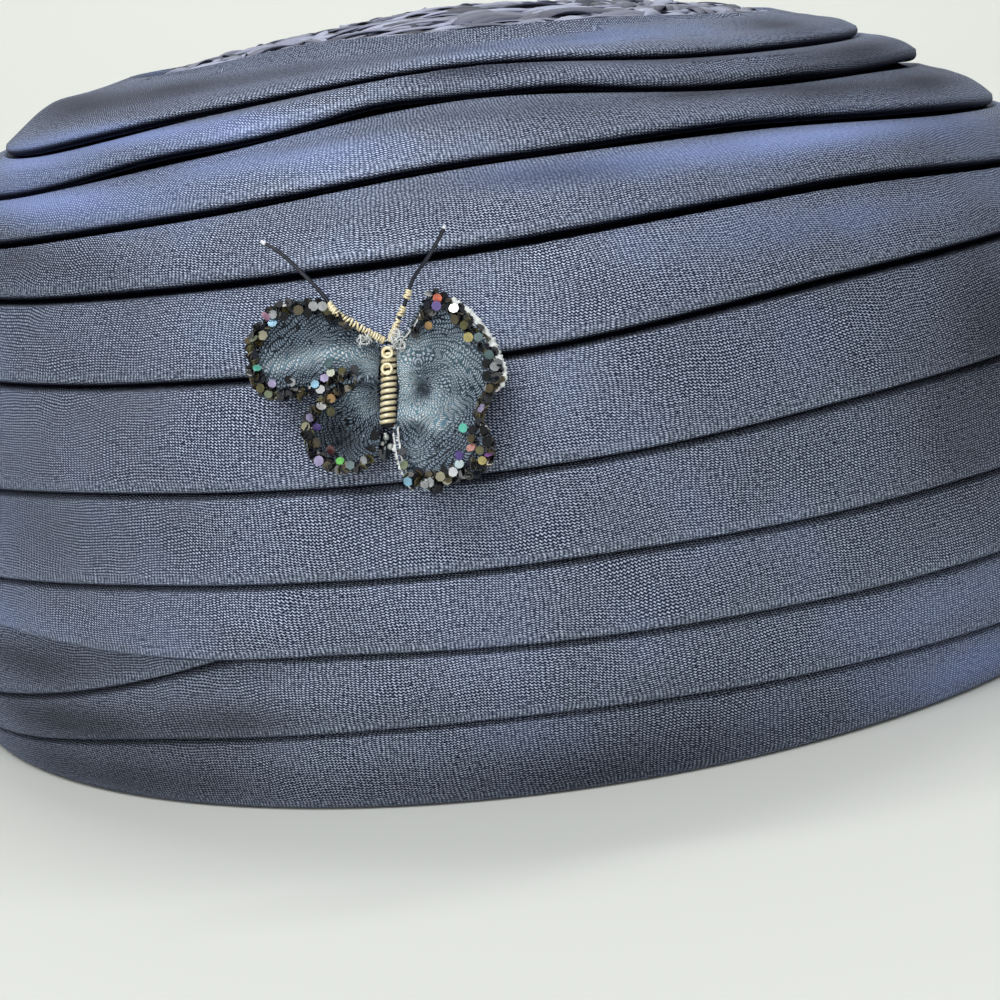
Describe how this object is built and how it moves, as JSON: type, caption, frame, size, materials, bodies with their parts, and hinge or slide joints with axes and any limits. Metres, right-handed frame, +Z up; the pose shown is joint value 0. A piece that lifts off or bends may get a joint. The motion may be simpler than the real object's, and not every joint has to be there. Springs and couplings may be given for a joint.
{
  "type": "pillbox hat",
  "caption": "Draped pillbox hat of lapped satin bias folds round a straw tip, with a small gathered satin butterfly at the front.",
  "frame": {"origin": "centre of the head opening, in the plane of the hem's edge", "axes": "+Z up through the crown, -Y to the front of the hat, +X to the right of the front view"},
  "size_m": [0.2061, 0.2275, 0.1021],
  "materials": {
    "satin": "navy satin, woven, soft sheen",
    "straw": "plaited straw ribbon, blue-grey, soft gloss",
    "wing_satin": "gathered teal satin with glitter rims",
    "gold_wire": "wound gold wire",
    "dark_drop": "dark, glossy",
    "feeler_wire": "thread-covered wire"
  },
  "bodies": {
    "root": {"straw_tip": "straw", "fold_01": "satin", "fold_02": "satin", "fold_03": "satin", "fold_04": "satin", "fold_05": "satin", "fold_06": "satin", "fold_07": "satin", "fold_08": "satin", "fold_09": "satin", "hem_fold": "satin", "short_fold": "satin", "butterfly_body": "gold_wire", "butterfly_tail": "dark_drop", "wing_left_upper": "wing_satin", "wing_left_lower": "wing_satin", "wing_right": "wing_satin", "antenna_left": "feeler_wire", "antenna_right": "feeler_wire"}
  },
  "joints": []
}
